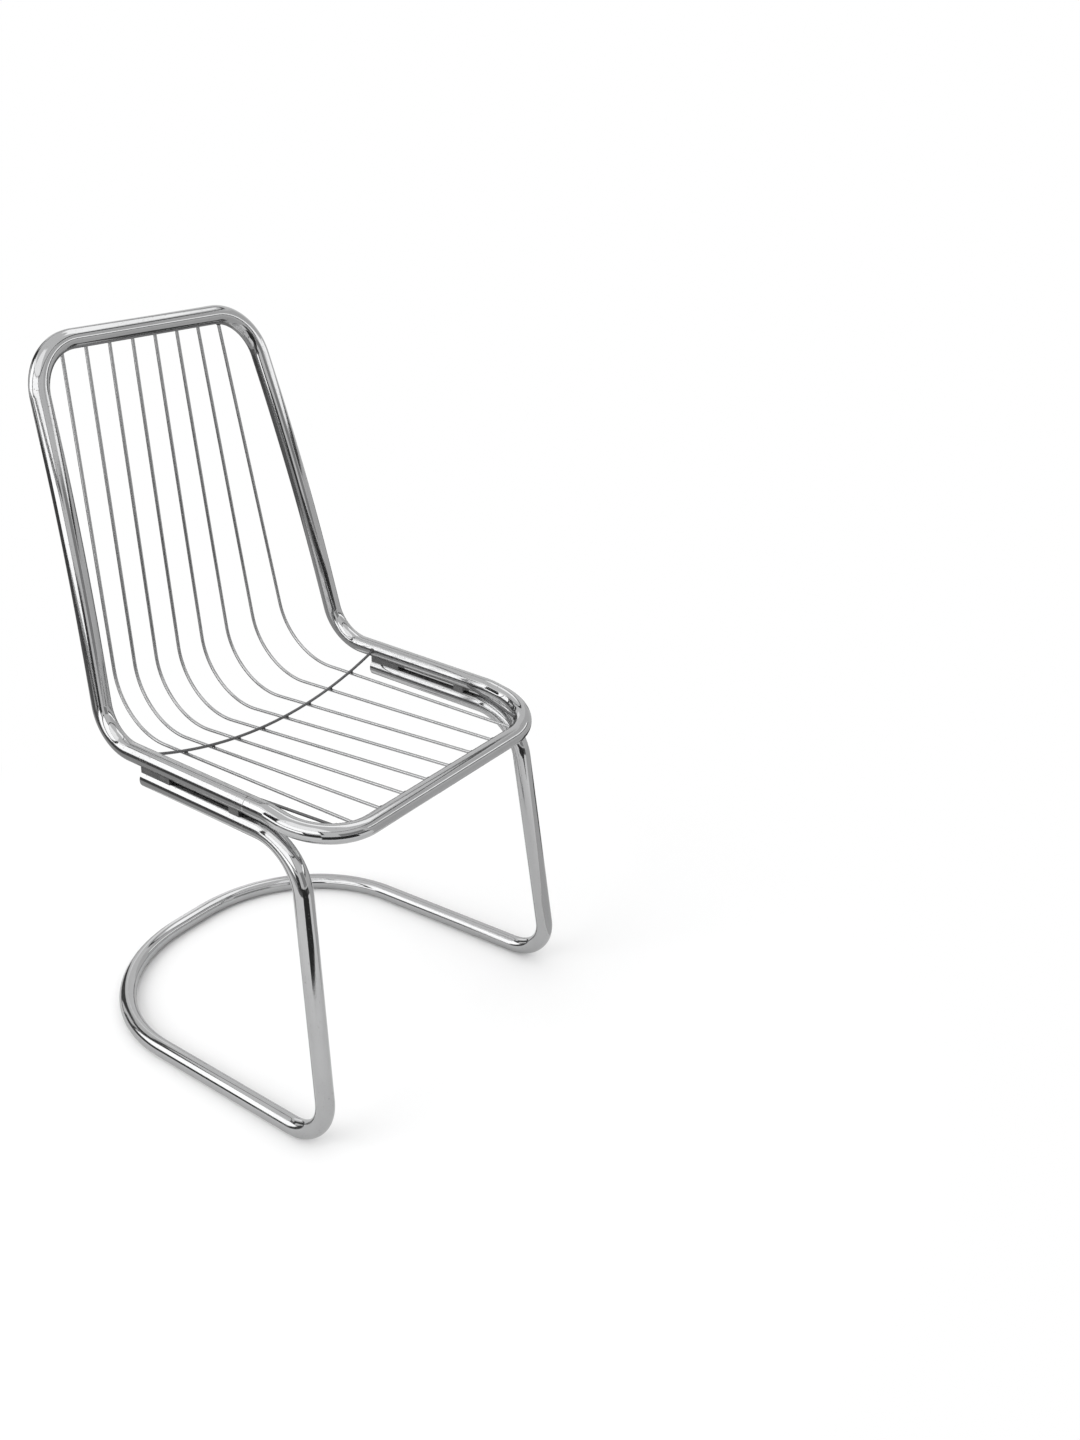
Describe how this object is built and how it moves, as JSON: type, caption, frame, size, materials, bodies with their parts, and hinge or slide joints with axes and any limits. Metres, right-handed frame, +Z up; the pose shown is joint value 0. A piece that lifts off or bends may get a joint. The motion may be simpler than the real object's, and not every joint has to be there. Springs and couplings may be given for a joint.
{
  "type": "cantilever chair",
  "caption": "Cantilever chair of bent chromed steel tube: a U-shaped floor base carries a seat and back frame strung with long bent steel wires.",
  "frame": {"origin": "on the floor, under the middle of the chair's outline seen from above", "axes": "+Z up, -Y the way the chair faces, -X the sitter's right; the chair is the same left and right of X = 0"},
  "size_m": [0.458, 0.505, 0.856],
  "materials": {
    "chromed_tube": "polished chrome plate on bent steel tube",
    "chromed_wire": "chrome plate on steel wire, a little duller",
    "dark_wire": "thin steel wire, darkened and dull",
    "chromed_pad": "chrome plate on pressed steel",
    "plain_steel": "bare turned steel inside the tubes",
    "fixings": "zinc-plated steel",
    "black_plastic": "moulded plastic"
  },
  "bodies": {
    "root": {"rear_loop": "chromed_tube", "front_loop": "chromed_tube", "base_tube": "chromed_tube", "wire_1": "chromed_wire", "wire_2": "chromed_wire", "wire_3": "chromed_wire", "wire_4": "chromed_wire", "wire_5": "chromed_wire", "wire_6": "chromed_wire", "wire_7": "chromed_wire", "wire_8": "chromed_wire", "cross_wire": "dark_wire", "stay_left": "dark_wire", "stay_right": "dark_wire", "rear_pad_left": "chromed_pad", "rear_pad_right": "chromed_pad", "front_pad_left": "chromed_pad", "front_pad_right": "chromed_pad", "spigot_left": "plain_steel", "spigot_right": "plain_steel", "bushes": "plain_steel", "screws": "fixings", "washers": "fixings", "end_plugs": "black_plastic"}
  },
  "joints": []
}
